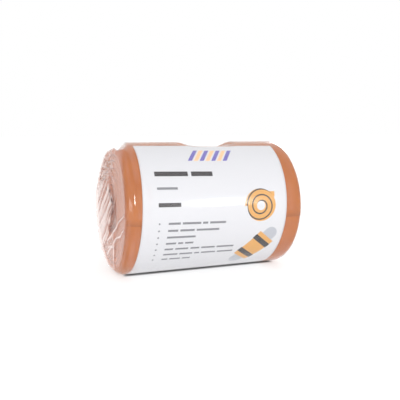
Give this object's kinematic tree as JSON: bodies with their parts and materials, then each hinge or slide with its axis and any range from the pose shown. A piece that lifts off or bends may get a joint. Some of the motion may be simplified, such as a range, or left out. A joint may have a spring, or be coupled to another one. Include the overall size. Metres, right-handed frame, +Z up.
{
  "type": "rolled flexible splint in clear film with a paper label",
  "caption": "Foam-padded flexible splint strip wound into a soft roll, held by a paper label and clear shrink film; it is unrolled and shaped to support a limb.",
  "frame": {"origin": "on the surface that the roll lies on, under the middle of the roll", "axes": "+X along the roll's axis, to the right of a reader of the label; -Y out of the label's front; +Z up"},
  "size_m": [0.1118, 0.0804, 0.0786],
  "materials": {
    "foam": "soft closed-cell foam, matt orange",
    "paper": "smooth white coated paper",
    "film": "clear glossy shrink film, hazy where it is gathered"
  },
  "bodies": {
    "root": {"splint_strip": "foam", "label_sheet": "paper", "shrink_film": "film"}
  },
  "joints": []
}
